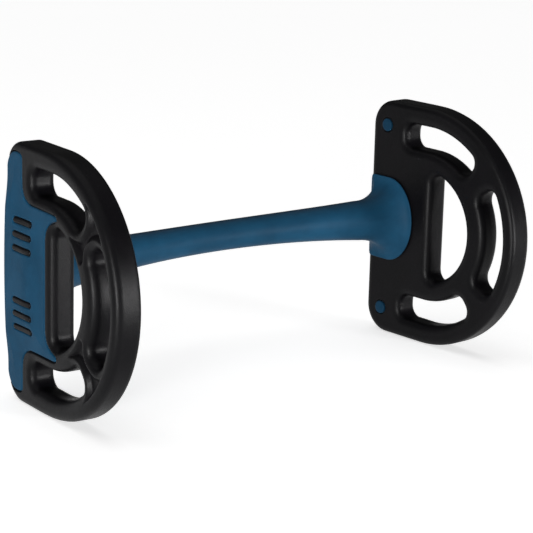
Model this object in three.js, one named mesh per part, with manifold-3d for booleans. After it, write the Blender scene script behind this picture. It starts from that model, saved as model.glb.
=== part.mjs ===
// A horse bit with a flexible, forward-curved mouthpiece between two D-shaped cheeks.
// Millimetres, +Z up. The mouthpiece runs along X, the cheeks' straight front edges face +Y and
// their round sides face -Y. The origin is the centre of the whole bit's bounding box.
//
// Each cheek is drawn flat in its own frame: x is the depth behind the front edge, y the height,
// and z points into the mouth, with z = 0 in the middle of the cheek's thickness. The right
// cheek is built there, turned into place, and mirrored for the left side.

import * as THREE from 'three';
import { mergeVertices } from 'three/addons/utils/BufferGeometryUtils.js';
import Module from 'manifold-3d';

const wasm = await Module();
wasm.setup();

// ---------------------------------------------------------------- driving dimensions

const mouthWidth = 128;                 // between the cheeks' inner faces, at the mouthpiece's axis
const gap = 0.3;                        // clearance between pieces that touch

const cheek = {
  height: 76,
  thickness: 9,
  arcCentre: 24.2,                      // depth of the centre that all the round lines share
  cornerRadius: 8.4,
  edgeBevel: 1.6,
  toe: THREE.MathUtils.degToRad(3.4),   // the round sides lean apart by this much on each side
};

const strapSlot = {                     // the same slot is mirrored below
  outerRadius: 31.75,
  innerRadius: 24.1,
  frontEnd: 14.6,
  backAngle: THREE.MathUtils.degToRad(49.2),
  corner: 3.2,
};

const crescent = {
  outerRadius: 32.8,
  innerRadius: 25.4,
  halfAngle: THREE.MathUtils.degToRad(31.8),
  corner: 3,
};

const reinWindow = {                    // the D-shaped opening in the middle
  wall: 26.4,
  radius: 17.8,
  corner: 3.8,
};

// The soft panel let into the outer face, along the front edge. An arm reaches back from each
// end, between the strap slot and the rein window. All but depth is for the upper half.
const inlay = {
  depth: 3,                             // how deep its recess is
  stripWidth: 9.4,                      // width in front of the strap slot
  stripTop: 35,
  stripCorner: 1.8,                     // rounding of the strip's upper back corner
  crestDepth: 5.83,                     // where the round upper end is highest
  crestStart: 29,                       // height where that end begins on the front edge
  hollowTop: 27.4,                      // the hollow corner between the strip and the arm ...
  hollowDepth: 15.6,                    // ... runs from this height to this depth
  armHeight: 21.1,                      // the arm's upper edge
  armDrop: 0.2,                         // how much that edge falls towards the tip
  shoulderDepth: 27,                    // where it turns down to the tip
  tipDepth: 29.2,
  tipHeight: 19.8,
  tipCorner: 0.8,
  undersideDepth: 27.4,                 // the tip's lower end ...
  undersideHeight: 18.8,                // ... where the edge turns forward above the window
  windowEdge: 22.7,                     // the panel's edge in front of the rein window
  windowTop: 17.4,
  windowCorner: 12.6,                   // height where the corner above the window ends
};

const pin = {
  depth: 6.5,
  height: 30.1,
  radius: 2.1,
  headRadius: 2.5,
  headThickness: 1,
  chamfer: 0.3,
};

const bar = {
  seatDepth: 8.8,                       // depth of the axis behind the cheeks' front edges
  bow: 9,                               // how far the middle stands in front of the ends
  middleRadius: 4.6,
  squareGrowth: 1.9,                    // radius gained towards the ends, by the square ...
  fourthGrowth: 0.9,                    // ... and the fourth power of the distance
};

const foot = { depth: 19.6, halfHeight: 13.6 };   // the flare's D-shaped foot on the cheek

const bendPivot = 31;                   // where each half bends, from the middle
const twistPlane = 53;                  // where each cheek twists against the mouthpiece

const core = { radius: 1.2, bore: 1.5, endInset: 0.7 };
const neckRadius = 4.2;
const washer = { radius: 5.7, thickness: 1, top: 1.2 };
const ferrule = { radius: 2.6, length: 2.9, top: -0.1 };

const chordError = 0.12;                // how far a facet's middle may lie inside its arc
const roundSides = 24;                  // sides of the mouthpiece
const smallSides = 12;                  // sides of pins, core, washer and ferrule
const flareRings = 9;
const stationLength = 6;                // between two rings of the mouthpiece

// ---------------------------------------------------------------- worked-out values

const halfSpan = mouthWidth / 2;
const innerFace = cheek.thickness / 2;
const outerFace = -cheek.thickness / 2;
const recessFloor = outerFace + inlay.depth;
const outlineRadius = cheek.height / 2;
const cheekOffset = halfSpan + innerFace * Math.cos(cheek.toe) - bar.seatDepth * Math.sin(cheek.toe);

// ---------------------------------------------------------------- materials

const blackPlastic = { color: '#151516', roughness: 0.55, metalness: 0 };
const blueElastomer = { color: '#244862', roughness: 0.6, metalness: 0 };
const steel = { color: '#8d9093', roughness: 0.35, metalness: 1 };

// ---------------------------------------------------------------- solids

function toSolid(geometry) {
  const bare = geometry.clone();
  bare.deleteAttribute('normal');
  bare.deleteAttribute('uv');
  const merged = mergeVertices(bare, 1e-4);
  return new wasm.Manifold(new wasm.Mesh({
    numProp: 3,
    vertProperties: new Float32Array(merged.attributes.position.array),
    triVerts: new Uint32Array(merged.index.array),
  }));
}

function toGeometry(solid) {
  const mesh = solid.getMesh();
  const geometry = new THREE.BufferGeometry();
  geometry.setAttribute('position', new THREE.BufferAttribute(mesh.vertProperties, 3));
  geometry.setIndex(new THREE.BufferAttribute(mesh.triVerts, 1));
  return geometry;
}

function mirrored(geometry) {
  const copy = geometry.clone().scale(-1, 1, 1);
  const index = copy.index.array;
  for (let i = 0; i < index.length; i += 3) {
    const first = index[i];
    index[i] = index[i + 1];
    index[i + 1] = first;
  }
  return copy;
}

// Turns a solid from the cheek's own frame into the right cheek's place.
function placeOnCheek(geometry) {
  const sine = Math.sin(cheek.toe);
  const cosine = Math.cos(cheek.toe);
  const frame = new THREE.Matrix4().makeBasis(
    new THREE.Vector3(sine, -cosine, 0),
    new THREE.Vector3(0, 0, 1),
    new THREE.Vector3(-cosine, -sine, 0),
  );
  frame.setPosition(cheekOffset, 0, 0);
  return geometry.applyMatrix4(frame);
}

// ---------------------------------------------------------------- flat outlines

function arc(centreX, centreY, radius, from, to) {
  const largestStep = 2 * Math.acos(1 - chordError / radius);
  const count = Math.max(2, Math.ceil(Math.abs(to - from) / largestStep));
  const points = [];
  for (let i = 0; i <= count; i += 1) {
    const angle = from + (to - from) * i / count;
    points.push(new THREE.Vector2(centreX + radius * Math.cos(angle), centreY + radius * Math.sin(angle)));
  }
  return points;
}

function polar(radius, angle) {
  return [cheek.arcCentre + radius * Math.cos(angle), radius * Math.sin(angle)];
}

function flipped(points) {
  return points.map((point) => new THREE.Vector2(point.x, -point.y)).reverse();
}

const quarter = Math.PI / 2;

function cheekOutline() {
  const r = cheek.cornerRadius;
  const upper = [
    ...arc(r, outlineRadius - r, r, Math.PI, quarter),
    ...arc(cheek.arcCentre, 0, outlineRadius, quarter, 0),
  ];
  return [...upper, ...flipped(upper).slice(1)];
}

// The rounded end of a slot between two concentric arcs, closed by a radial line.
function slotEnd(slot, angle) {
  const outer = slot.outerRadius - slot.corner;
  const inner = slot.innerRadius + slot.corner;
  const outerAngle = angle + Math.asin(slot.corner / outer);
  const innerAngle = angle + Math.asin(slot.corner / inner);
  return {
    outerAngle,
    innerAngle,
    points: [
      ...arc(...polar(outer, outerAngle), slot.corner, outerAngle, angle - quarter),
      ...arc(...polar(inner, innerAngle), slot.corner, angle - quarter, innerAngle - Math.PI),
    ],
  };
}

function strapSlotOutline() {
  const slot = strapSlot;
  const end = slotEnd(slot, slot.backAngle);
  const frontX = slot.frontEnd + slot.corner;
  return [
    ...arc(frontX, slot.outerRadius - slot.corner, slot.corner, Math.PI, quarter),
    ...arc(cheek.arcCentre, 0, slot.outerRadius, quarter, end.outerAngle),
    ...end.points,
    ...arc(cheek.arcCentre, 0, slot.innerRadius, end.innerAngle, quarter),
    ...arc(frontX, slot.innerRadius + slot.corner, slot.corner, -quarter, -Math.PI),
  ];
}

function crescentOutline() {
  const lowerEnd = slotEnd(crescent, -crescent.halfAngle);
  return [
    ...arc(cheek.arcCentre, 0, crescent.outerRadius, -lowerEnd.outerAngle, lowerEnd.outerAngle),
    ...lowerEnd.points,
    ...arc(cheek.arcCentre, 0, crescent.innerRadius, lowerEnd.innerAngle, -lowerEnd.innerAngle),
    ...flipped(lowerEnd.points),
  ];
}

function reinWindowOutline() {
  const r = reinWindow.corner;
  const cornerX = reinWindow.wall + r;
  const cornerY = Math.sqrt((reinWindow.radius - r) ** 2 - (cornerX - cheek.arcCentre) ** 2);
  const cornerAngle = Math.atan2(cornerY, cornerX - cheek.arcCentre);
  const upper = [
    ...arc(cornerX, cornerY, r, Math.PI, cornerAngle),
    ...arc(cheek.arcCentre, 0, reinWindow.radius, cornerAngle, 0),
  ];
  return [...upper, ...flipped(upper).slice(1)];
}

// The soft panel's outline, drawn in by `inset` all round except along the front edge.
function inlayOutline(inset, frontEdge) {
  const strip = inlay.stripWidth - inset;
  const crest = inlay.crestDepth - inset / 2;
  const top = inlay.stripTop - inset;
  const arm = inlay.armHeight - inset;
  const tip = inlay.tipDepth - inset;
  const window = inlay.windowEdge - inset;
  const shoulder = inlay.shoulderDepth - inset;
  const underside = inlay.undersideDepth - inset;
  const upper = new THREE.Path();
  upper.moveTo(frontEdge, inlay.crestStart);
  upper.lineTo(inset / 2, inlay.crestStart);
  upper.quadraticCurveTo(1, top - inset, crest, top);
  upper.quadraticCurveTo(strip, top, strip, top - inlay.stripCorner);
  upper.lineTo(strip, inlay.hollowTop);
  upper.quadraticCurveTo(strip, arm, inlay.hollowDepth, arm);
  upper.lineTo(shoulder, arm - inlay.armDrop);
  upper.quadraticCurveTo(tip, arm - inlay.armDrop, tip, inlay.tipHeight);
  upper.quadraticCurveTo(tip - inlay.tipCorner, inlay.tipHeight - inlay.tipCorner,
    underside, inlay.undersideHeight);
  upper.quadraticCurveTo(window, inlay.windowTop, window, inlay.windowCorner);
  const points = upper.getPoints(4);
  return [...points, ...flipped(points)];
}

// Drops each point that lies on the one before it, where two arcs meet.
function clean(points) {
  const closest = 0.01;
  return points.filter((point, i) => point.distanceTo(points.at(i - 1)) > closest);
}

// Extrudes an outline from one height to another, with its edges bevelled if asked. Every
// outline runs clockwise, so the holes are turned round.
function slab(outline, holes, low, high, bevel = 0) {
  const shape = new THREE.Shape(clean(outline));
  shape.holes = holes.map((points) => new THREE.Path(clean(points).reverse()));
  const geometry = new THREE.ExtrudeGeometry(shape, {
    depth: high - low - 2 * bevel,
    curveSegments: 1,
    bevelEnabled: bevel > 0,
    bevelThickness: bevel,
    bevelSize: bevel,
    bevelOffset: -bevel,
    bevelSegments: 2,
  });
  return geometry.translate(0, 0, low + bevel);
}

// A round post across the cheek, between two heights in the cheek's own frame.
function post(x, y, radius, low, high, sides = smallSides) {
  const geometry = new THREE.CylinderGeometry(radius, radius, high - low, sides);
  return geometry.rotateX(quarter).translate(x, y, (low + high) / 2);
}

// ---------------------------------------------------------------- pieces of one cheek

function cheekPiece() {
  const upperSlot = strapSlotOutline();
  const holes = [upperSlot, flipped(upperSlot), crescentOutline(), reinWindowOutline()];
  let solid = toSolid(slab(cheekOutline(), holes, outerFace, innerFace, cheek.edgeBevel));
  const beyond = 3;
  const shoulder = washer.top + gap;
  const pinShoulder = recessFloor + pin.headThickness + gap;
  const cuts = [
    slab(inlayOutline(0, -beyond), [], outerFace - beyond, recessFloor),
    post(bar.seatDepth, 0, neckRadius + gap, recessFloor - 1, innerFace + beyond, roundSides),
    post(bar.seatDepth, 0, washer.radius + gap, recessFloor - 1, shoulder, roundSides),
  ];
  for (const side of [1, -1]) {
    cuts.push(post(pin.depth, side * pin.height, pin.radius + gap, recessFloor - 1, innerFace + beyond));
    cuts.push(post(pin.depth, side * pin.height, pin.headRadius + gap, recessFloor - 1, pinShoulder));
  }
  for (const cut of cuts) {
    solid = solid.subtract(toSolid(cut));
  }
  return placeOnCheek(toGeometry(solid));
}

// The panel has a plug behind it that fills the mouthpiece's counterbore round the ferrule.
function inlayPiece() {
  const underside = recessFloor - gap;
  const plugTop = washer.top - washer.thickness - gap;
  const panel = toSolid(slab(inlayOutline(gap, 0), [], outerFace, underside));
  const plug = toSolid(post(bar.seatDepth, 0, washer.radius, underside - 1, plugTop, roundSides));
  const pocketFloor = ferrule.top - ferrule.length - gap;
  const pocket = toSolid(post(bar.seatDepth, 0, ferrule.radius + gap, pocketFloor, plugTop + 1));
  return placeOnCheek(toGeometry(panel.add(plug).subtract(pocket)));
}

function pinPiece(side) {
  const headLow = recessFloor;
  const headHigh = headLow + pin.headThickness;
  const profile = [
    new THREE.Vector2(0, headLow),
    new THREE.Vector2(pin.headRadius, headLow),
    new THREE.Vector2(pin.headRadius, headHigh),
    new THREE.Vector2(pin.radius, headHigh),
    new THREE.Vector2(pin.radius, innerFace - pin.chamfer),
    new THREE.Vector2(pin.radius - pin.chamfer, innerFace),
    new THREE.Vector2(0, innerFace),
  ];
  const geometry = new THREE.LatheGeometry(profile, smallSides).rotateX(quarter);
  geometry.translate(pin.depth, side * pin.height, 0);
  return placeOnCheek(toGeometry(toSolid(geometry)));
}

function ring(outerRadius, innerRadius, low, high) {
  const outside = toSolid(post(bar.seatDepth, 0, outerRadius, low, high, roundSides));
  const inside = toSolid(post(bar.seatDepth, 0, innerRadius, low - 1, high + 1));
  return placeOnCheek(toGeometry(outside.subtract(inside)));
}

function washerPiece() {
  return ring(washer.radius, core.bore, washer.top - washer.thickness, washer.top);
}

function ferrulePiece() {
  return ring(ferrule.radius, core.bore, ferrule.top - ferrule.length, ferrule.top);
}

// ---------------------------------------------------------------- mouthpiece

// Y of the mouthpiece's axis: a parabola that stands forward in the middle.
function axisY(x) {
  const ends = -bar.seatDepth * Math.cos(cheek.toe) - innerFace * Math.sin(cheek.toe);
  return ends + bar.bow * (1 - (x / halfSpan) ** 2);
}

function barRadius(x) {
  const q = x / halfSpan;
  return bar.middleRadius + bar.squareGrowth * q ** 2 + bar.fourthGrowth * q ** 4;
}

// A round bar along the mouthpiece's axis, turned straight and then bowed.
function bowedBar(from, to, radiusAt, sides) {
  const count = Math.ceil((to - from) / stationLength);
  const profile = [new THREE.Vector2(0, from)];
  for (let i = 0; i <= count; i += 1) {
    const x = from + (to - from) * i / count;
    profile.push(new THREE.Vector2(radiusAt(x), x));
  }
  profile.push(new THREE.Vector2(0, to));
  const geometry = new THREE.LatheGeometry(profile, sides).rotateZ(-quarter);
  const position = geometry.attributes.position;
  for (let i = 0; i < position.count; i += 1) {
    position.setY(i, position.getY(i) + axisY(position.getX(i)));
  }
  return toSolid(geometry);
}

function coreBore(from, to) {
  return bowedBar(from, to, () => core.bore, smallSides);
}

function ballAt(x, radius) {
  const geometry = new THREE.SphereGeometry(radius, roundSides, roundSides / 2);
  return toSolid(geometry.rotateX(quarter).translate(x, axisY(x), 0));
}

const ballRadius = barRadius(bendPivot);
const halfGap = gap / 2;

// The middle ends in a ball at each bending place.
function middlePiece() {
  const shaft = bowedBar(-bendPivot, bendPivot, barRadius, roundSides);
  const balls = ballAt(-bendPivot, ballRadius).add(ballAt(bendPivot, ballRadius));
  const beyond = bendPivot + ballRadius + 1;
  return toGeometry(shaft.add(balls).subtract(coreBore(-beyond, beyond)));
}

// Each outer length has a cup that goes round the middle's ball.
function outerLengthPiece() {
  const shaft = bowedBar(bendPivot, twistPlane - halfGap, barRadius, roundSides);
  const cup = ballAt(bendPivot, ballRadius + gap);
  return toGeometry(shaft.subtract(cup).subtract(coreBore(bendPivot, twistPlane + 1)));
}

// Distance from the foot's centre to its outline: a box in front, half an ellipse behind.
function footReach(angle) {
  const along = Math.cos(angle);
  const across = Math.abs(Math.sin(angle));
  if (along < 0) {
    return Math.min(bar.seatDepth / -along, foot.halfHeight / Math.max(across, 1e-6));
  }
  return 1 / Math.hypot(along / (foot.depth - bar.seatDepth), across / foot.halfHeight);
}

// The flare spreads from the mouthpiece's round end to the foot on the cheek's inner face.
function flareShell() {
  const start = twistPlane + halfGap;
  const startRadius = barRadius(start);
  const footCentre = placeOnCheek(new THREE.BufferGeometry().setFromPoints([
    new THREE.Vector3(bar.seatDepth, 0, innerFace + gap),
  ])).attributes.position;
  const centreX = footCentre.getX(0);
  const centreY = footCentre.getY(0);
  const geometry = new THREE.CylinderGeometry(1, 1, 1, roundSides, flareRings);
  const position = geometry.attributes.position;
  for (let i = 0; i < position.count; i += 1) {
    const level = (0.5 - position.getY(i)) * quarter;
    const spread = 1 - Math.cos(level);
    const along = Math.sin(level);
    const onAxis = Math.hypot(position.getX(i), position.getZ(i)) < 0.5;
    const angle = Math.atan2(-position.getZ(i), position.getX(i));
    const reach = onAxis ? 0 : startRadius * (1 - spread) + footReach(angle) * spread;
    const depth = reach * Math.cos(angle);
    const height = reach * Math.sin(angle);
    const x = start + (centreX - start) * along + depth * spread * Math.sin(cheek.toe);
    const y = axisY(start) + (centreY - axisY(start)) * along;
    position.setXYZ(i, x, y - depth * (1 - spread * (1 - Math.cos(cheek.toe))), height);
  }
  return toSolid(geometry);
}

function flarePiece() {
  const innerEnd = twistPlane - 1;
  const neck = toSolid(placeOnCheek(
    post(bar.seatDepth, 0, neckRadius, washer.top + 2 * gap, innerFace + 1, roundSides)));
  const neckBore = toSolid(placeOnCheek(post(bar.seatDepth, 0, core.bore, 0, innerFace + gap + core.bore)));
  const bore = coreBore(innerEnd, halfSpan - gap).add(ballAt(halfSpan - gap, core.bore));
  return toGeometry(flareShell().add(neck).subtract(bore).subtract(neckBore));
}

// The core's last length follows the mouthpiece, then turns square to the cheek.
function coreEndPiece() {
  const along = bowedBar(twistPlane + halfGap, halfSpan - gap, () => core.radius, smallSides);
  const elbow = ballAt(halfSpan - gap, core.radius);
  const across = toSolid(placeOnCheek(
    post(bar.seatDepth, 0, core.radius, ferrule.top - ferrule.length, innerFace + gap)));
  return toGeometry(along.add(elbow).add(across));
}

function corePiece(from, to) {
  return toGeometry(bowedBar(from, to, () => core.radius, smallSides));
}

// ---------------------------------------------------------------- assembly

const bit = new THREE.Group();

function addPiece(name, geometry, look) {
  const mesh = new THREE.Mesh(geometry, new THREE.MeshStandardMaterial(look));
  mesh.name = name;
  bit.add(mesh);
}

addPiece('mouthpiece_middle', middlePiece(), blueElastomer);
const ballEnd = bendPivot + ballRadius;
addPiece('core_middle', corePiece(core.endInset - ballEnd, ballEnd - core.endInset), steel);

const sidePieces = [
  ['mouthpiece_length', outerLengthPiece(), blueElastomer],
  ['core_length', corePiece(ballEnd + core.endInset, twistPlane - halfGap), steel],
  ['flare', flarePiece(), blueElastomer],
  ['core_end', coreEndPiece(), steel],
  ['core_washer', washerPiece(), steel],
  ['core_ferrule', ferrulePiece(), steel],
  ['cheek', cheekPiece(), blackPlastic],
  ['cheek_inlay', inlayPiece(), blueElastomer],
  ['upper_pin', pinPiece(1), blueElastomer],
  ['lower_pin', pinPiece(-1), blueElastomer],
];
for (const [name, geometry, look] of sidePieces) {
  addPiece(`right_${name}`, geometry, look);
  addPiece(`left_${name}`, mirrored(geometry), look);
}

const box = new THREE.Box3().setFromObject(bit);
bit.position.y = -(box.min.y + box.max.y) / 2;

export default bit;
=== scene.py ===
# A horse bit with a soft, forward-curved mouthpiece between two D-shaped plastic cheeks.
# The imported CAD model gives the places, the bodies and the steel core. This script makes the
# visible pieces round it: two cheeks with their soft inlays and pins, and the mouthpiece.
#
# Lengths are in millimetres until they reach Blender. A cheek is modelled in its own frame:
# depth behind its front edge, height, and outward from the middle of its thickness.

import math

import bpy
import numpy as np
from mathutils import Matrix, Vector


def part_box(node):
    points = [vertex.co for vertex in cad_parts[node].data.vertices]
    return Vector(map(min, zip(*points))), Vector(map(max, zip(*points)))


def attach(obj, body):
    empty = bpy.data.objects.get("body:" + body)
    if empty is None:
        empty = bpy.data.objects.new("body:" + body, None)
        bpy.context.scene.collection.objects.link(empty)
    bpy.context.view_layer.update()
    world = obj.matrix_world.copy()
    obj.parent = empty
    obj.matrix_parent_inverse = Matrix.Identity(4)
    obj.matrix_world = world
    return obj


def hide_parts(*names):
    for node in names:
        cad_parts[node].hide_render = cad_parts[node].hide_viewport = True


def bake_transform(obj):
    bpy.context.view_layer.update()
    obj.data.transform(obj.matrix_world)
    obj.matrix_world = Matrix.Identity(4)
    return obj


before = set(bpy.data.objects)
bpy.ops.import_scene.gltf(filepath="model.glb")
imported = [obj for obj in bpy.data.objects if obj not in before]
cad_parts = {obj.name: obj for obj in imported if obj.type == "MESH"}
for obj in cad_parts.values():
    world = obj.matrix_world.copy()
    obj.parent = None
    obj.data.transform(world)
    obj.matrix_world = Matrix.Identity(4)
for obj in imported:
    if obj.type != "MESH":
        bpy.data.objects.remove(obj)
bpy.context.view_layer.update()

METRES = 0.001                     # one millimetre

# ---------------------------------------------------------------- driving dimensions

HALF_SPAN = 64.0                   # from the middle to a cheek's inner face
TOE = math.radians(3.4)            # each cheek's round side leans outward by this

HALF_THICKNESS = 4.5
OUTLINE_RADIUS = 38.0
ARC_CENTRE = 24.2                  # depth of the centre that all the round lines share
CORNER_RADIUS = 8.4
CAD_BEVEL = 1.6

SLOT_OUTER = 31.75                 # strap slot, and its mirror image below
SLOT_INNER = 24.1
SLOT_FRONT = 14.6
SLOT_BACK = math.radians(49.2)     # round the arc's centre, from the line straight backwards
SLOT_CORNER = 3.2

CRESCENT_OUTER = 32.8
CRESCENT_INNER = 25.4
CRESCENT_END = math.radians(31.8)
CRESCENT_CORNER = 3.0

WINDOW_RADIUS = 17.8               # D-shaped rein window
WINDOW_WALL = 26.4
WINDOW_CORNER = 3.8

RIM_ROUNDING = 2.0                 # where the cheek's outline meets its inner face ...
OUTER_RIM_ROUNDING = 2.9           # ... and its outer face, behind ROUNDER_FROM
OPENING_ROUNDING = 2.9             # the same for the edges of the openings
OUTER_OPENING_ROUNDING = 3.3
RIDGE_ROUNDING = 1.2               # where two of these roundings meet on a narrow strut
ROUNDER_FROM = (18.0, 34.0)        # depths between which the outer face's edges grow rounder
BEAD_ROUNDING = 1.2                # where the outer face drops to the inlay

POCKET_DEPTH = 1.4                 # hollows of the outer face between the openings
POCKET_EDGE = (2.5, 4.4)           # from this far off the openings to this far, they deepen
POCKET_ANGLES = (28.0, 33.0, 50.0, 55.0)    # degrees where they start, are whole, fade and end
POCKET_RADII = (18.0, 20.0, 34.0, 36.5)     # the same from the arc's centre outwards

RECESS_FLOOR = 1.5
INLAY_BOTTOM = 1.7
INLAY_EDGE_TOP = 4.05              # the inlay's height beside the bead round it ...
INLAY_CROWN = 1.2                  # ... and how much higher its middle is
INLAY_CROWN_SPAN = 34.0            # the crown has died out this far above and below the middle
INLAY_CROWN_RUN = 12.0             # and is whole this far in from the inlay's outline
INLAY_CLEARANCE = 0.12
INLAY_TOP_ROUNDING = 0.45
INLAY_FRONT_ROUNDING = 1.1

# The inlay's outline. In front of the rein window it is a broad panel. Above and below the
# window an arm reaches backwards, and from there a narrower strip goes on to a crest.
STRIP_WIDTH = 9.4
STRIP_TOP = 35.0
CREST_START = 29.0                 # height where the outline leaves the front edge
CREST_BEND = 1.0
CREST_DEPTH = 5.83
CREST_SHOULDER = 33.2
CREST_WAIST = 30.0
HOLLOW_TOP = 27.4                  # from here the strip's back edge curves into the arm
HOLLOW_DEPTH = 15.6
ARM_HEIGHT = 21.1
ARM_DROP = 0.1                     # the arm's upper edge falls by this, twice
ARM_MIDDLE = 21.0
ARM_SHOULDER = 27.0
ARM_TIP = (29.2, 19.8)
ARM_UNDER_BEND = (28.4, 19.0)
ARM_UNDERSIDE = (27.4, 18.8)
HOLLOW_EDGE = 22.7                 # the inlay's back edge in front of the window ...
HOLLOW_EDGE_TOP = 17.4
HOLLOW_EDGE_START = 12.6           # ... is straight up to this height
OUTLINE_AHEAD = -6.0               # the outline runs on to here, in front of the cheek
INLAY_REACH = 31.0                 # nothing of the inlay lies deeper than this

RIB_HEIGHTS = (7.6, 11.6, 15.6)    # plain grip ribs of the cheek, standing through the inlay
RIB_DEPTH = 10.5
RIB_LENGTH = 10.0
RIB_WIDTH = 1.6
RIB_RISE = 0.12                    # above the inlay
RIB_ROOT = 1.0                     # below the recess's floor
RIB_ROUNDING = 0.35

PIN_DEPTH = 6.5
PIN_HEIGHT = 30.1
PIN_RADIUS = 2.05
PIN_HEAD_RADIUS = 2.5
PIN_CLEARANCE = 0.12
PIN_ROUNDING = 0.3
PIN_TOP = 1.45                     # the head's outward end, under the inlay
PIN_HEAD_THICKNESS = 1.0
PIN_SUNK = 0.02                    # the tip's rim lies this far below the cheek's inner face ...
PIN_CROWN = 0.04                   # ... and its middle stands higher than the rim by this
PIN_ROUNDING_POINTS = 4

SEAT_DEPTH = 8.8                   # depth of the mouthpiece's axis
BOW = 9.0                          # how far its middle stands forward of its ends
BAR_RADIUS = 4.6                   # in the middle; towards the cheeks it grows by ...
BAR_SQUARE_GROWTH = 1.9            # ... this times the square of the share of the way
BAR_FOURTH_GROWTH = 0.9            # ... and this times its fourth power

BEND_START, BEND_END = 14.0, 48.0  # the soft bar's flexible stretch, each side, lies between these; its middle piece ends at the first
SEAM = 48.5                        # between the bending bar piece and the flare piece
FLARE_START = 53.15

FOOT_DEPTH = 19.6                  # the flare's D-shaped foot on the cheek
FOOT_HALF_HEIGHT = 13.5
FOOT_FRONT = 0.35                  # its front, behind the cheek's front edge
FOOT_RISE = 0.5                    # its thin edge, above the cheek's inner face
FOOT_ROUNDING = 0.35
FOOT_CLEARANCE = 0.12
FOOT_SQUARENESS = 14               # the higher, the tighter its front corners

CORE_BORE = 2.0                    # radius of the bore that the steel core runs in
CORE_BORE_SEAT = 1.0               # it is square to the cheek up to this far below its face ...
CORE_BORE_TURNED = 60.0            # ... and follows the bar from this far off the middle
CORE_BORE_RINGS = 7
NECK_RADIUS = 4.2
NECK_CLEARANCE = 0.3
WASHER_RADIUS = 5.7
WASHER_TOP = 1.2                   # its inner side, inward of the middle of the thickness

GRID = 0.42                        # cell of the meshes that follow a distance field
FIELD_MARGIN = 1.0                 # room round a cheek in its grid
SMOOTHING_ROUNDS = 2
NEWTON_STEPS = 3
LEAST_SLOPE_SQUARED = 0.25         # keeps a step short where a field is nearly flat
BAR_SIDES = 96
BAR_STATION = 1.0
SEAM_STATION = 0.15                # share of a station, beside each seam
FLARE_RINGS = 24
FOOT_EDGE_RINGS = 4
PIN_SIDES = 48
SHARP_ANGLE = math.radians(50)

EDGE_REACH = 0.5                   # how far off a point its roundness is felt for
EDGE_GAIN = 1.6                    # how soon a rounding counts as an edge painted paler, partly as rubbed wear and partly as a painted highlight

# ---------------------------------------------------------------- looks and staging

PLASTIC_DARK = (4, 4, 5)           # colours as display values of 0 to 255
PLASTIC_LIGHT = (7, 6, 8)
# round edges: paler, partly rubbed wear and partly a painted highlight
PLASTIC_WORN_AND_HIGHLIT = (11, 11, 12)
PLASTIC_ROUGHNESS = (0.35, 0.42)
BAR_BLUES = ((13, 45, 65), (17, 53, 75), (21, 59, 82))      # dark, light and flow lines
INLAY_BLUES = ((8, 40, 59), (12, 47, 68), (15, 52, 74))
PIN_BLUES = ((6, 31, 48), (9, 38, 56), (13, 43, 62))
BLUE_ROUGHNESS = (0.46, 0.60)
BAR_GRAIN = 2.2                    # grain sizes count noise cells per millimetre
INLAY_GRAIN = 3.0
STEEL_DARK = (150, 152, 154)
STEEL_LIGHT = (186, 187, 188)
STEEL_ROUGHNESS = (0.24, 0.46)
NOISE_SPAN = (0.3, 0.7)            # most values of a noise lie between these

FLOOR_GAP = 0.05                   # under the cheeks
FLOOR_SIZE = 8.0                   # metres
FLOOR_GLOW = 0.6                   # a light table, so that the floor stays pale in a dark studio
FLOOR_DARK = (243, 243, 243)
FLOOR_LIGHT = (246, 246, 246)

VIEW_AZIMUTH = math.radians(-38.065)        # round Z, from the view along +Y
VIEW_ELEVATION = math.radians(14.317)
VIEW_ROLL = math.radians(1.548)
VIEW_DISTANCE = 637.474
VIEW_TARGET = Vector((12.373, 16.463, -8.275))
VIEW_LENS = 140.584
VIEW_SENSOR = 36.0

SOFTBOX_WIDTH = 0.20               # metres, as the softboxes' distances are
SOFTBOX_HEIGHT = 0.07
OVERHEAD_STRENGTH = 1.0
OVERHEAD_SPREAD = math.radians(70)
OVERHEAD_TILT = (math.radians(-12), math.radians(-8), 0)
WORLD_STRENGTH = 0.08

# ---------------------------------------------------------------- places

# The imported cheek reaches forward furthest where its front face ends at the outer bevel.
front_bevel = (HALF_THICKNESS - CAD_BEVEL) * math.sin(TOE)
FRONT_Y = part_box("right_cheek")[1][1] / METRES - front_bevel
SEAT_X = HALF_SPAN + HALF_THICKNESS * math.cos(TOE) - SEAT_DEPTH * math.sin(TOE)


def metres(*values):
    return tuple(value * METRES for value in values)


def place(points, side):
    """Cheek frame (depth, height, outward) to the model's frame, on side 1 (right) or -1."""
    depth, height, outward = np.asarray(points, float).T
    x = SEAT_X + depth * math.sin(TOE) + outward * math.cos(TOE)
    y = FRONT_Y - depth * math.cos(TOE) + outward * math.sin(TOE)
    return np.column_stack([side * x, y, height])


def turn(vectors, side):
    """The same turn for directions."""
    return place(vectors, side) - place(np.zeros((1, 3)), side)


def axis_y(x):
    """Y of the mouthpiece's axis: a parabola that stands forward in the middle."""
    ends = FRONT_Y - SEAT_DEPTH * math.cos(TOE) - HALF_THICKNESS * math.sin(TOE)
    return ends + BOW * (1 - (x / HALF_SPAN) ** 2)


def bar_radius(x):
    q = x / HALF_SPAN
    return BAR_RADIUS + BAR_SQUARE_GROWTH * q ** 2 + BAR_FOURTH_GROWTH * q ** 4


# ---------------------------------------------------------------- distance fields

def smoothstep(low, high, value):
    t = np.clip((value - low) / (high - low), 0, 1)
    return t * t * (3 - 2 * t)


def plateau(start, whole, fade, end, value):
    """Rises from 0 to 1 between start and whole, and falls again between fade and end."""
    return smoothstep(start, whole, value) * (1 - smoothstep(fade, end, value))


def meet(a, b, radius):
    """Distance to the space where both a and b are negative, its edge rounded by radius."""
    outside = np.hypot(np.maximum(a + radius, 0), np.maximum(b + radius, 0))
    inside = np.minimum(np.maximum(a + radius, b + radius), 0)
    return outside + inside - radius


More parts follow.
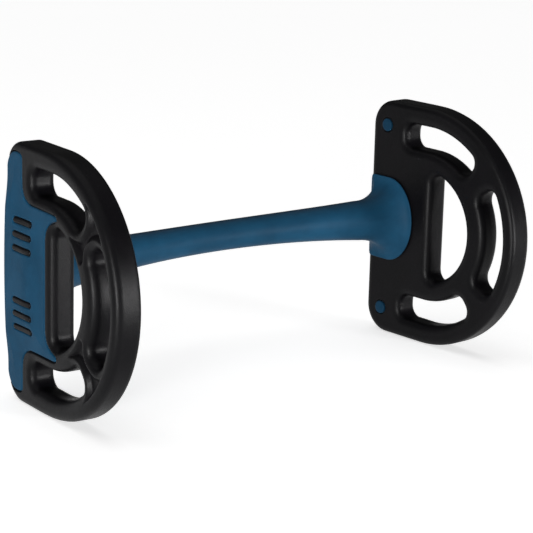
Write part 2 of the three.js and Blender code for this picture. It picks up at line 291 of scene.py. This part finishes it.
def outline_distance(depth, height):
    """Negative inside the cheek's outline; the height is taken as positive."""
    disc = np.hypot(depth - ARC_CENTRE, height) - OUTLINE_RADIUS
    front = meet(-depth, height - OUTLINE_RADIUS, CORNER_RADIUS)
    return np.where(depth > ARC_CENTRE, disc, front)


def openings_distance(depth, height):
    """Negative inside a strap slot, the crescent or the rein window."""
    behind = depth - ARC_CENTRE
    radius = np.hypot(behind, height)
    slot_radius = np.hypot(np.maximum(behind, 0), height)
    slot_band = np.maximum(slot_radius - SLOT_OUTER, SLOT_INNER - slot_radius)
    slot_back = behind * math.sin(SLOT_BACK) - height * math.cos(SLOT_BACK)
    slot = meet(slot_band, np.maximum(SLOT_FRONT - depth, slot_back), SLOT_CORNER)
    crescent_band = np.maximum(radius - CRESCENT_OUTER, CRESCENT_INNER - radius)
    crescent_end = height * math.cos(CRESCENT_END) - behind * math.sin(CRESCENT_END)
    crescent = meet(crescent_band, crescent_end, CRESCENT_CORNER)
    rein = meet(radius - WINDOW_RADIUS, WINDOW_WALL - depth, WINDOW_CORNER)
    return np.minimum(np.minimum(slot, crescent), rein)


def bezier(start, control, end, steps=8):
    """Points of a curve that leaves start towards control, without its first point."""
    t = np.linspace(0, 1, steps + 1)[1:, None]
    start, control, end = (np.array(point) for point in (start, control, end))
    return (1 - t) ** 2 * start + 2 * t * (1 - t) * control + t ** 2 * end


def inlay_outline():
    """The upper half of the inlay's outline, from the front edge round to mid-height."""
    arm_end = ARM_HEIGHT - 2 * ARM_DROP
    knots = [
        (0, CREST_START),
        (CREST_BEND, STRIP_TOP), (CREST_DEPTH, STRIP_TOP),
        (STRIP_WIDTH, STRIP_TOP), (STRIP_WIDTH, CREST_SHOULDER),
        (STRIP_WIDTH, CREST_WAIST), (STRIP_WIDTH, HOLLOW_TOP),
        (STRIP_WIDTH, ARM_HEIGHT), (HOLLOW_DEPTH, ARM_HEIGHT),
        (ARM_MIDDLE, ARM_HEIGHT - ARM_DROP), (ARM_SHOULDER, arm_end),
        (ARM_TIP[0], arm_end), ARM_TIP,
        ARM_UNDER_BEND, ARM_UNDERSIDE,
        (HOLLOW_EDGE, HOLLOW_EDGE_TOP), (HOLLOW_EDGE, HOLLOW_EDGE_START),
    ]
    points = [np.array([[OUTLINE_AHEAD, CREST_START], [0, CREST_START]])]
    for start in range(0, len(knots) - 2, 2):
        points.append(bezier(*knots[start:start + 3]))
    points.append(np.array([[HOLLOW_EDGE, -OUTLINE_RADIUS]]))
    return np.vstack(points)


INLAY_OUTLINE = inlay_outline()


def inlay_distance(depth, height):
    """Negative inside the inlay's outline, which runs on in front of the front edge."""
    nearest = np.full(depth.shape, np.inf)
    left_of = np.zeros(depth.shape, bool)
    for (ax, ay), (bx, by) in zip(INLAY_OUTLINE[:-1], INLAY_OUTLINE[1:]):
        along_x = bx - ax
        along_y = by - ay
        share = ((depth - ax) * along_x + (height - ay) * along_y) / (along_x ** 2 + along_y ** 2)
        share = np.clip(share, 0, 1)
        away_x = depth - ax - share * along_x
        away_y = height - ay - share * along_y
        nearest = np.minimum(nearest, away_x ** 2 + away_y ** 2)
        if along_y:
            crosses = (ay > height) != (by > height)
            reach = ax + (height - ay) * along_x / along_y
            left_of ^= crosses & (depth < reach)
    return np.where(left_of, -1, 1) * np.sqrt(nearest)


def inlay_top(depth, height):
    """How far outward the inlay's surface stands."""
    crown = INLAY_CROWN * np.maximum(1 - (height / INLAY_CROWN_SPAN) ** 2, 0)
    edge = -inlay_distance(depth, height)
    return INLAY_EDGE_TOP + crown * smoothstep(0, INLAY_CROWN_RUN, edge)


def rib_distance(depth, height):
    """Distance to the nearest of the straight, round-ended grip ribs, seen from outside."""
    half = (RIB_LENGTH - RIB_WIDTH) / 2
    along = np.maximum(np.abs(depth - RIB_DEPTH) - half, 0)
    across = np.min([np.abs(height - rib) for rib in RIB_HEIGHTS], axis=0)
    return np.hypot(along, across) - RIB_WIDTH / 2


def pocket(depth, height, edge):
    """Depth of the hollows in the struts between the openings, on the outer face."""
    angle = np.degrees(np.arctan2(height, depth - ARC_CENTRE))
    radius = np.hypot(depth - ARC_CENTRE, height)
    inside = plateau(*POCKET_ANGLES, angle) * plateau(*POCKET_RADII, radius)
    return POCKET_DEPTH * inside * smoothstep(*POCKET_EDGE, edge)


def cheek_field(points):
    """The hard cheek: its outline and openings, the inlay's recess, the ribs and the bores."""
    depth, across, outward = points.T
    height = np.abs(across)
    rim = outline_distance(depth, height)
    openings = openings_distance(depth, height)
    top = HALF_THICKNESS - pocket(depth, height, np.minimum(-rim, openings))
    inner = -HALF_THICKNESS - outward
    faces = np.maximum(outward - top, inner)
    rounder = np.where(outward > 0, smoothstep(*ROUNDER_FROM, depth), 0)
    rim_rounding = RIM_ROUNDING + (OUTER_RIM_ROUNDING - RIM_ROUNDING) * rounder
    opening_rounding = OPENING_ROUNDING + (OUTER_OPENING_ROUNDING - OPENING_ROUNDING) * rounder
    outside = meet(rim, faces, rim_rounding)
    solid = meet(outside, meet(-openings, faces, opening_rounding), RIDGE_ROUNDING)

    bead = meet(-inlay_distance(depth, height), outward - top, BEAD_ROUNDING)
    solid = np.maximum(solid, np.minimum(bead, outward - RECESS_FLOOR))
    rib_top = outward - inlay_top(depth, height) - RIB_RISE
    ribs = meet(rib_distance(depth, height), rib_top, RIB_ROUNDING)
    solid = np.minimum(solid, np.maximum(ribs, RECESS_FLOOR - RIB_ROOT - outward))

    from_seat = np.hypot(depth - SEAT_DEPTH, height)
    neck = NECK_RADIUS + NECK_CLEARANCE - from_seat
    washer = np.maximum(from_seat - WASHER_RADIUS - NECK_CLEARANCE, -WASHER_TOP - outward)
    from_pin = np.hypot(depth - PIN_DEPTH, height - PIN_HEIGHT)
    shank = meet(PIN_RADIUS + PIN_CLEARANCE - from_pin, inner, PIN_ROUNDING)
    head = np.maximum(from_pin - PIN_HEAD_RADIUS - PIN_CLEARANCE, -outward)
    for cut in (neck, -washer, shank, -head):
        solid = np.maximum(solid, cut)
    return solid


def inlay_field(points):
    """The soft panel in the cheek's recess, with slots for the ribs."""
    depth, across, outward = points.T
    height = np.abs(across)
    top = outward - inlay_top(depth, height)
    edge = inlay_distance(depth, height) + INLAY_CLEARANCE
    panel = meet(edge, top, INLAY_TOP_ROUNDING)
    panel = np.maximum(panel, meet(outline_distance(depth, height), top, INLAY_FRONT_ROUNDING))
    slots = INLAY_CLEARANCE - rib_distance(depth, height)
    panel = np.maximum(panel, meet(slots, top, INLAY_TOP_ROUNDING))
    return np.maximum(panel, INLAY_BOTTOM - outward)


# ---------------------------------------------------------------- meshes from fields

def gradient(field, points, reach=0.02):
    """The field's slope along depth, height and outward."""
    slopes = []
    for axis in range(3):
        shift = np.zeros(3)
        shift[axis] = reach
        slopes.append((field(points + shift) - field(points - shift)) / (2 * reach))
    return np.column_stack(slopes)


def pull_to_surface(field, points):
    """Newton steps onto the field's zero surface, none longer than half a cell."""
    for _ in range(NEWTON_STEPS):
        slope = gradient(field, points)
        steep = np.maximum((slope ** 2).sum(axis=1), LEAST_SLOPE_SQUARED)
        step = slope * (field(points) / steep)[:, None]
        length = np.linalg.norm(step, axis=1, keepdims=True)
        points = points - step * np.minimum(1, GRID / 2 / np.maximum(length, 1e-9))
    return points


def relax(points, quads):
    """Moves each vertex halfway to the middle of its neighbours."""
    total = np.zeros_like(points)
    count = np.zeros(len(points))
    for corner in range(4):
        for other in (quads[:, corner - 1], quads[:, (corner + 1) % 4]):
            for axis in range(3):
                total[:, axis] += np.bincount(quads[:, corner], points[other, axis], len(points))
            count += np.bincount(quads[:, corner], minlength=len(points))
    return (points + total / count[:, None]) / 2


def nets(field, low, high):
    """Surface nets: one vertex in each cell that the surface crosses, joined in quads."""
    axes = [np.arange(a, b + GRID, GRID) for a, b in zip(low, high)]
    grid = np.stack(np.meshgrid(*axes, indexing="ij"), axis=-1)
    shape = grid.shape[:3]
    value = field(grid.reshape(-1, 3)).reshape(shape)
    total = np.zeros(tuple(n - 1 for n in shape) + (3,))
    count = np.zeros(total.shape[:3])
    crossings = []
    for axis in range(3):
        near = [slice(None)] * 3
        far = [slice(None)] * 3
        near[axis] = slice(0, -1)
        far[axis] = slice(1, None)
        start, end = value[tuple(near)], value[tuple(far)]
        crosses = (start < 0) != (end < 0)
        share = start / np.where(crosses, start - end, 1)
        point = grid[tuple(near)].copy()
        point[..., axis] += share * GRID
        first, second = [k for k in range(3) if k != axis]
        for a in (0, 1):
            for b in (0, 1):
                part = [slice(None)] * 3
                part[first] = slice(a, shape[first] - 1 + a)
                part[second] = slice(b, shape[second] - 1 + b)
                here = crosses[tuple(part)]
                total += np.where(here[..., None], point[tuple(part)], 0)
                count += here
        crossings.append((crosses, start < 0))
    used = count > 0
    number = np.full(count.shape, -1)
    number[used] = np.arange(used.sum())
    points = total[used] / count[used][:, None]

    quads = []
    for axis, (crosses, leaves) in enumerate(crossings):
        first, second = [k for k in range(3) if k != axis]
        at = np.argwhere(crosses)
        corners = []
        for a, b in ((1, 1), (0, 1), (0, 0), (1, 0)):
            cell = at.copy()
            cell[:, first] -= a
            cell[:, second] -= b
            corners.append(number[tuple(cell.T)])
        quad = np.column_stack(corners)
        backward = leaves[crosses] == (axis == 1)
        quad[backward] = quad[backward][:, ::-1]
        quads.append(quad)
    return points, np.vstack(quads)


def mesh_field(field, low, high):
    """The field's zero surface as evenly spread quads."""
    points, quads = nets(field, low, high)
    for _ in range(SMOOTHING_ROUNDS):
        points = pull_to_surface(field, relax(points, quads))
    return points, quads


# ---------------------------------------------------------------- Blender objects

def make_object(name, points, faces, normals=None, edge=None):
    """A mesh object from points in millimetres, with its rest places kept for the materials."""
    mesh = bpy.data.meshes.new(name)
    mesh.from_pydata((points * METRES).tolist(), [], [list(face) for face in faces])
    rest = mesh.attributes.new("rest_point", "FLOAT_VECTOR", "POINT")
    rest.data.foreach_set("vector", points.astype(np.float32).ravel())
    if edge is not None:
        # the roundness that the plastic paints paler, as rubbed wear and as a painted highlight
        wear_and_highlight = mesh.attributes.new("edge", "FLOAT", "POINT")
        wear_and_highlight.data.foreach_set("value", edge.astype(np.float32))
    mesh.shade_smooth()
    if normals is None:
        mesh.set_sharp_from_angle(angle=SHARP_ANGLE)
    else:
        mesh.normals_split_custom_set_from_vertices(normals.tolist())
    mesh.validate()
    obj = bpy.data.objects.new(name, mesh)
    bpy.context.scene.collection.objects.link(obj)
    return obj


def edge_share(field, points):
    """Nought on flat parts, rising to one on the round edges, which are painted paler both as
    wear that hands and straps rub and as a painted highlight.

    A distance field's second differences add up to how sharply its surface is curved.
    """
    total = -6 * field(points)
    for axis in range(3):
        shift = np.zeros(3)
        shift[axis] = EDGE_REACH
        total += field(points + shift) + field(points - shift)
    return np.clip(total / EDGE_REACH ** 2 * EDGE_GAIN, 0, 1)


def field_pieces(name, field, shape):
    """The right and the left piece of one field, placed on their cheeks."""
    points, quads = shape
    slope = gradient(field, points)
    slope /= np.linalg.norm(slope, axis=1, keepdims=True)
    edge = edge_share(field, points)
    pieces = {}
    for side_name, side in (("right", 1), ("left", -1)):
        faces = quads[:, ::-1] if side > 0 else quads
        placed = place(points, side)
        normals = turn(slope, side)
        pieces[side_name] = make_object(f"{side_name}_{name}", placed, faces, normals, edge)
    return pieces


def closed_rings(name, rings):
    """A mesh from a closed loop of closed rings of points."""
    rings = np.asarray(rings)
    count, sides = rings.shape[:2]
    points = rings.reshape(-1, 3)
    i, j = np.meshgrid(np.arange(count), np.arange(sides), indexing="ij")
    here = i * sides
    there = (i + 1) % count * sides
    j_next = (j + 1) % sides
    quads = np.stack([here + j, here + j_next, there + j_next, there + j], -1).reshape(-1, 4)
    a, b, c = (points[quads[:, k]] for k in range(3))
    if np.einsum("ij,ij->i", a, np.cross(b, c)).sum() < 0:
        quads = quads[:, ::-1]
    return make_object(name, points, quads)


def revolve(profile, sides, place_point):
    """The points and faces of a closed turned piece.

    The profile's (radius, along) pairs start and end on the axis.
    """
    angles = np.linspace(0, 2 * math.pi, sides, endpoint=False)
    points = [place_point(0, 0, profile[0][1])]
    for radius, along in profile[1:-1]:
        points += [place_point(radius * math.cos(a), radius * math.sin(a), along) for a in angles]
    points.append(place_point(0, 0, profile[-1][1]))
    points = np.array(points)
    faces = []
    rows = len(profile) - 2
    last = len(points) - 1
    for j in range(sides):
        k = (j + 1) % sides
        faces.append([0, 1 + k, 1 + j])
        for row in range(rows - 1):
            low = 1 + row * sides
            high = low + sides
            faces.append([low + j, low + k, high + k, high + j])
        end = 1 + (rows - 1) * sides
        faces.append([end + j, end + k, last])
    return points, faces


# ---------------------------------------------------------------- mouthpiece

ring_angles = np.linspace(0, 2 * math.pi, BAR_SIDES, endpoint=False)


def bar_ring(x, radius):
    """A ring round the mouthpiece's axis, upright and square to X."""
    y = axis_y(x) - radius * np.cos(ring_angles)
    return np.column_stack([np.full(BAR_SIDES, x), y, radius * np.sin(ring_angles)])


def stations(start, end):
    """Places along the bar, with one close beside each end so that the seams don't show."""
    count = max(2, math.ceil(abs(end - start) / BAR_STATION))
    even = np.linspace(start, end, count + 1)
    close = (end - start) / count * SEAM_STATION
    return np.sort(np.concatenate([even, [start + close, end - close]]))


def bar_piece(name, start, end):
    """A length of the soft bar, bored through for the core."""
    outside = [bar_ring(x, bar_radius(x)) for x in stations(start, end)]
    bore = [bar_ring(x, CORE_BORE) for x in stations(start, end)[::-2]]
    return closed_rings(name, outside + bore)


def foot_reach(shrink):
    """The foot's outline round the seat: half a rounded box in front, half an ellipse behind."""
    along, across = np.cos(ring_angles), np.abs(np.sin(ring_angles))
    half_height = FOOT_HALF_HEIGHT - shrink
    box = (np.abs(along) / (SEAT_DEPTH - FOOT_FRONT - shrink)) ** FOOT_SQUARENESS
    front = (box + (across / half_height) ** FOOT_SQUARENESS) ** (-1 / FOOT_SQUARENESS)
    behind = 1 / np.hypot(along / (FOOT_DEPTH - SEAT_DEPTH - shrink), across / half_height)
    return np.where(along < 0, front, behind)


def edge_drop(depth):
    """How far the cheek's inner face has rounded away, this deep behind its front edge."""
    short = np.clip(RIM_ROUNDING - depth, 0, RIM_ROUNDING)
    return RIM_ROUNDING - np.sqrt(RIM_ROUNDING ** 2 - short ** 2)


def seat_ring(reach, height):
    """A ring round the seat, at a height above the cheek's inner face, on the right side."""
    reach = np.broadcast_to(reach, (BAR_SIDES,))
    depth = SEAT_DEPTH + reach * np.cos(ring_angles)
    outward = edge_drop(depth) - HALF_THICKNESS - height
    return place(np.column_stack([depth, reach * np.sin(ring_angles), outward]), 1)


def flare_piece(name, side):
    """The bar's end: it spreads from a round ring to the foot, and its neck enters the cheek."""
    rings = [bar_ring(x, bar_radius(x)) for x in stations(SEAM, FLARE_START)]
    start = bar_ring(FLARE_START, bar_radius(FLARE_START))
    end = seat_ring(foot_reach(FOOT_ROUNDING), FOOT_RISE)
    start_centre = np.array([FLARE_START, axis_y(FLARE_START), 0])
    end_centre = seat_ring(0, FOOT_RISE)[0]
    for level in np.linspace(0, math.pi / 2, FLARE_RINGS + 1)[1:]:
        spread = 1 - math.cos(level)
        along = math.sin(level)
        centre = start_centre + (end_centre - start_centre) * along
        rings.append(centre + (start - start_centre) * (1 - spread) + (end - end_centre) * spread)
    for level in np.linspace(0, math.pi / 2, FOOT_EDGE_RINGS + 1)[1:]:
        shrink = FOOT_ROUNDING * (1 - math.sin(level))
        height = FOOT_RISE - FOOT_ROUNDING * (1 - math.cos(level))
        rings.append(seat_ring(foot_reach(shrink), height))
    rings.append(seat_ring(foot_reach(0), FOOT_CLEARANCE))
    neck_end = -HALF_THICKNESS + WASHER_TOP + NECK_CLEARANCE
    rings.append(seat_ring((foot_reach(0) + NECK_RADIUS) / 2, FOOT_CLEARANCE))
    rings.append(seat_ring(NECK_RADIUS, FOOT_CLEARANCE))
    rings.append(seat_ring(NECK_RADIUS, neck_end))
    rings.append(seat_ring(CORE_BORE, neck_end))
    rings.append(seat_ring(CORE_BORE, -CORE_BORE_SEAT))
    bore = np.linspace(CORE_BORE_TURNED, SEAM, CORE_BORE_RINGS)
    rings += [bar_ring(x, CORE_BORE) for x in bore]
    mirror = np.array([side, 1, 1])
    return closed_rings(name, [ring * mirror for ring in rings])


# ---------------------------------------------------------------- pins

def pin_piece(name, side, height):
    """A pin from its head under the inlay to its slightly domed tip at the cheek's inner face."""
    head = -PIN_TOP
    neck = head + PIN_HEAD_THICKNESS
    tip = HALF_THICKNESS - PIN_SUNK
    profile = [(0, head), (PIN_HEAD_RADIUS, head), (PIN_HEAD_RADIUS, neck), (PIN_RADIUS, neck)]
    for angle in np.linspace(0, math.pi / 2, PIN_ROUNDING_POINTS):
        radius = PIN_RADIUS - PIN_ROUNDING * (1 - math.cos(angle))
        profile.append((radius, tip - PIN_ROUNDING * (1 - math.sin(angle))))
    profile += [(PIN_RADIUS / 2, tip + PIN_CROWN * 3 / 4), (0, tip + PIN_CROWN)]

    def spot(a, b, along):
        return place([(PIN_DEPTH + a, height + b, -along)], side)[0]

    points, faces = revolve(profile, PIN_SIDES, spot)
    if side < 0:
        faces = [face[::-1] for face in faces]
    return make_object(name, points, faces)


# ---------------------------------------------------------------- materials

class Nodes:
    """Short calls for building one node tree."""

    def __init__(self, name):
        self.material = bpy.data.materials.new(name)
        self.material.use_nodes = True
        self.tree = self.material.node_tree
        self.shader = self.tree.nodes["Principled BSDF"]

    def add(self, kind, inputs=None, **settings):
        node = self.tree.nodes.new(kind)
        for key, value in settings.items():
            setattr(node, key, value)
        for key, value in (inputs or {}).items():
            self.put(node.inputs[key], value)
        return node

    def put(self, socket, value):
        if isinstance(value, bpy.types.NodeSocket):
            self.tree.links.new(value, socket)
        else:
            socket.default_value = value

    def set(self, **values):
        for key, value in values.items():
            self.put(self.shader.inputs[key.replace("_", " ")], value)

    def rest_point(self):
        return self.add("ShaderNodeAttribute", attribute_name="rest_point").outputs["Vector"]

    def noise(self, where, scale, detail=2.0, roughness=0.5, stretch=None):
        if stretch:
            inputs = {0: where, 1: stretch}
            where = self.add("ShaderNodeVectorMath", inputs, operation="MULTIPLY").outputs[0]
        node = self.add("ShaderNodeTexNoise", {
            "Vector": where, "Scale": scale, "Detail": detail, "Roughness": roughness})
        return node.outputs["Fac"]

    def spread(self, value, low, high, start=0.0, end=1.0):
        """Maps value from start..end to low..high."""
        node = self.add("ShaderNodeMapRange", {
            "Value": value, "From Min": start, "From Max": end, "To Min": low, "To Max": high})
        return node.outputs["Result"]

    def mix(self, share, first, second):
        node = self.add("ShaderNodeMix", data_type="RGBA")
        self.put(node.inputs[0], share)
        self.put(node.inputs[6], first)
        self.put(node.inputs[7], second)
        return node.outputs[2]

    def sum(self, first, second, weight):
        """The first value and a share of the second."""
        inputs = {0: second, 1: weight, 2: first}
        node = self.add("ShaderNodeMath", inputs, operation="MULTIPLY_ADD")
        return node.outputs[0]

    def bump(self, height, distance):
        node = self.add("ShaderNodeBump", {
            "Height": height, "Distance": distance, "Strength": 1.0})
        return node.outputs["Normal"]


def colour(red, green, blue):
    """An opaque colour from display values of 0 to 255, by the sRGB curve."""
    linear = [value / 255 / 12.92 if value < 11 else ((value / 255 + 0.055) / 1.055) ** 2.4
              for value in (red, green, blue)]
    return (*linear, 1.0)


def black_plastic():
    """Moulded plastic: a fine sparked grain, faint scuffs, and edges a little paler, partly as
    rubbed wear and partly as a painted highlight.
    """
    nodes = Nodes("black_plastic")
    where = nodes.rest_point()
    edge = nodes.add("ShaderNodeAttribute", attribute_name="edge").outputs["Fac"]
    cloud = nodes.noise(where, scale=0.09, detail=4)
    grain = nodes.noise(where, scale=2.6, detail=3, roughness=0.7)
    scuffs = nodes.noise(where, scale=0.5, detail=5, roughness=0.75, stretch=(1.0, 1.0, 0.12))
    shade = nodes.spread(cloud, 0, 1, *NOISE_SPAN)
    base = nodes.mix(shade, colour(*PLASTIC_DARK), colour(*PLASTIC_LIGHT))
    # round edges painted paler, partly as rubbed wear and partly as a painted highlight
    worn_and_highlit = nodes.mix(nodes.spread(edge, 0, 0.5), base, colour(*PLASTIC_WORN_AND_HIGHLIT))
    rough = nodes.spread(cloud, *PLASTIC_ROUGHNESS, *NOISE_SPAN)
    rough = nodes.sum(rough, nodes.spread(scuffs, low=-0.5, high=0.5), weight=0.16)
    nodes.set(Base_Color=worn_and_highlit, Roughness=rough)
    nodes.shader.inputs["Specular IOR Level"].default_value = 0.07
    height = nodes.sum(grain, scuffs, weight=0.6)
    nodes.set(Normal=nodes.bump(height, distance=0.00006))
    return nodes.material


def blue_elastomer(name, grain_scale, dark, light, flow_colour):
    """Soft thermoplastic rubber: a dry, slightly cloudy blue with a fine skin."""
    nodes = Nodes(name)
    where = nodes.rest_point()
    cloud = nodes.noise(where, scale=0.13, detail=4)
    grain = nodes.noise(where, scale=grain_scale, detail=3, roughness=0.65)
    flow = nodes.noise(where, scale=0.35, detail=4, stretch=(0.25, 1.0, 1.0))
    base = nodes.mix(nodes.spread(cloud, 0, 1, *NOISE_SPAN), colour(*dark), colour(*light))
    lines = nodes.spread(flow, low=0, high=0.35, start=0.45, end=0.75)
    mottled = nodes.mix(lines, base, colour(*flow_colour))
    rough = nodes.spread(grain, *BLUE_ROUGHNESS, *NOISE_SPAN)
    nodes.set(Base_Color=mottled, Roughness=rough)
    nodes.shader.inputs["Specular IOR Level"].default_value = 0.04
    nodes.shader.inputs["Sheen Weight"].default_value = 0.03
    nodes.shader.inputs["Sheen Roughness"].default_value = 0.4
    height = nodes.sum(grain, flow, weight=0.8)
    nodes.set(Normal=nodes.bump(height, distance=0.00005))
    return nodes.material


def core_steel():
    """Drawn steel: fine lines along the wire and a few duller patches."""
    nodes = Nodes("drawn_steel")
    where = nodes.add("ShaderNodeTexCoord").outputs["Object"]
    lines = nodes.noise(where, scale=1500, detail=3, stretch=(0.03, 1.0, 1.0))
    patches = nodes.noise(where, scale=120, detail=3)
    base = nodes.mix(patches, colour(*STEEL_DARK), colour(*STEEL_LIGHT))
    rough = nodes.spread(lines, *STEEL_ROUGHNESS, *NOISE_SPAN)
    nodes.set(Base_Color=base, Roughness=rough)
    nodes.shader.inputs["Metallic"].default_value = 1.0
    nodes.set(Normal=nodes.bump(lines, distance=0.00003))
    return nodes.material


def pale_floor():
    """A plain, matt ground that glows a little and is faintly uneven."""
    nodes = Nodes("pale_floor")
    where = nodes.add("ShaderNodeTexCoord").outputs["Object"]
    cloud = nodes.noise(where, scale=3.0)
    nodes.set(Base_Color=nodes.mix(cloud, colour(*FLOOR_DARK), colour(*FLOOR_LIGHT)))
    nodes.shader.inputs["Roughness"].default_value = 0.9
    nodes.shader.inputs["Emission Color"].default_value = (1, 1, 1, 1)
    nodes.shader.inputs["Emission Strength"].default_value = FLOOR_GLOW
    nodes.shader.inputs["Specular IOR Level"].default_value = 0.0
    return nodes.material


def dress(obj, material):
    obj.data.materials.clear()
    obj.data.materials.append(material)


# ---------------------------------------------------------------- the pieces

plastic = black_plastic()
bar_blue = blue_elastomer("bar_elastomer", BAR_GRAIN, *BAR_BLUES)
inlay_blue = blue_elastomer("inlay_elastomer", INLAY_GRAIN, *INLAY_BLUES)
pin_blue = blue_elastomer("pin_elastomer", INLAY_GRAIN, *PIN_BLUES)
steel = core_steel()

side_low = -OUTLINE_RADIUS - FIELD_MARGIN
side_high = OUTLINE_RADIUS + FIELD_MARGIN
field_top = HALF_THICKNESS + 2 * FIELD_MARGIN
cheek_low = (-FIELD_MARGIN, side_low, -HALF_THICKNESS - FIELD_MARGIN)
cheek_high = (ARC_CENTRE + side_high, side_high, field_top)
cheeks = field_pieces("cheek_shell", cheek_field, mesh_field(cheek_field, cheek_low, cheek_high))
inlay_high = (INLAY_REACH, OUTLINE_RADIUS, field_top)
inlays = field_pieces("inlay_panel", inlay_field, mesh_field(inlay_field, cheek_low, inlay_high))

middle = bar_piece("middle_bar", -BEND_START, BEND_START)
dress(middle, bar_blue)
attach(middle, "mouthpiece")
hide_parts("mouthpiece_middle")

for side_name, side in (("right", 1), ("left", -1)):
    shell = cheeks[side_name]
    dress(shell, plastic)
    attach(shell, f"{side_name}_side")
    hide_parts(f"{side_name}_cheek")

    panel = inlays[side_name]
    dress(panel, inlay_blue)
    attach(panel, f"{side_name}_side")
    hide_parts(f"{side_name}_cheek_inlay")

    for level_name, level in (("upper", 1), ("lower", -1)):
        pin = pin_piece(f"{side_name}_{level_name}_pin_body", side, level * PIN_HEIGHT)
        dress(pin, pin_blue)
        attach(pin, f"{side_name}_side")
        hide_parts(f"{side_name}_{level_name}_pin")

    bend = bar_piece(f"{side_name}_bending_bar", side * BEND_START, side * SEAM)
    dress(bend, bar_blue)
    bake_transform(bend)
    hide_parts(f"{side_name}_mouthpiece_length")

    flare = flare_piece(f"{side_name}_flare_end", side)
    dress(flare, bar_blue)
    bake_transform(flare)
    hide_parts(f"{side_name}_flare")

for name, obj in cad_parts.items():
    if "core" in name:
        dress(obj, steel)

# ---------------------------------------------------------------- floor, lights and camera

floor_z = -OUTLINE_RADIUS - FLOOR_GAP
bpy.ops.mesh.primitive_plane_add(size=FLOOR_SIZE, location=metres(0, 0, floor_z))
floor = bpy.context.object
floor.name = "floor"
dress(floor, pale_floor())


def facing(azimuth, elevation):
    """The way from the object to a viewer at this azimuth and elevation."""
    flat = math.cos(elevation)
    return Vector((math.sin(azimuth) * flat, -math.cos(azimuth) * flat, math.sin(elevation)))


to_camera = facing(VIEW_AZIMUTH, VIEW_ELEVATION)
level_right = Vector((math.cos(VIEW_AZIMUTH), math.sin(VIEW_AZIMUTH), 0))
level_up = to_camera.cross(level_right)
right = level_right * math.cos(VIEW_ROLL) + level_up * math.sin(VIEW_ROLL)
up = level_up * math.cos(VIEW_ROLL) - level_right * math.sin(VIEW_ROLL)
camera_data = bpy.data.cameras.new("camera")
camera_data.lens = VIEW_LENS
camera_data.sensor_width = VIEW_SENSOR
camera = bpy.data.objects.new("camera", camera_data)
viewpoint = (VIEW_TARGET + to_camera * VIEW_DISTANCE) * METRES
view_turn = Matrix((right, up, to_camera)).transposed().to_4x4()
camera.matrix_world = Matrix.Translation(viewpoint) @ view_turn
bpy.context.scene.collection.objects.link(camera)
bpy.context.scene.camera = camera


def softbox(name, azimuth, distance, power):
    """A low, wide lamp at the object's height, at this azimuth in degrees, facing the object."""
    light = bpy.data.lights.new(name, "AREA")
    light.shape = "RECTANGLE"
    light.size = SOFTBOX_WIDTH
    light.size_y = SOFTBOX_HEIGHT
    light.energy = power
    obj = bpy.data.objects.new(name, light)
    way = facing(math.radians(azimuth), 0)
    obj.location = way * distance
    obj.rotation_euler = way.to_track_quat("Z", "Y").to_euler()
    bpy.context.scene.collection.objects.link(obj)


softbox("left_softbox", azimuth=-62, distance=0.8, power=10)
softbox("right_softbox", azimuth=23, distance=1.0, power=14)

overhead = bpy.data.lights.new("overhead", "SUN")
overhead.energy = OVERHEAD_STRENGTH
overhead.angle = OVERHEAD_SPREAD
overhead_object = bpy.data.objects.new("overhead", overhead)
overhead_object.rotation_euler = OVERHEAD_TILT
bpy.context.scene.collection.objects.link(overhead_object)

world = bpy.data.worlds.new("studio")
world.use_nodes = True
world.node_tree.nodes["Background"].inputs["Color"].default_value = (1, 1, 1, 1)
world.node_tree.nodes["Background"].inputs["Strength"].default_value = WORLD_STRENGTH
bpy.context.scene.world = world
bpy.context.scene.view_settings.view_transform = "Standard"
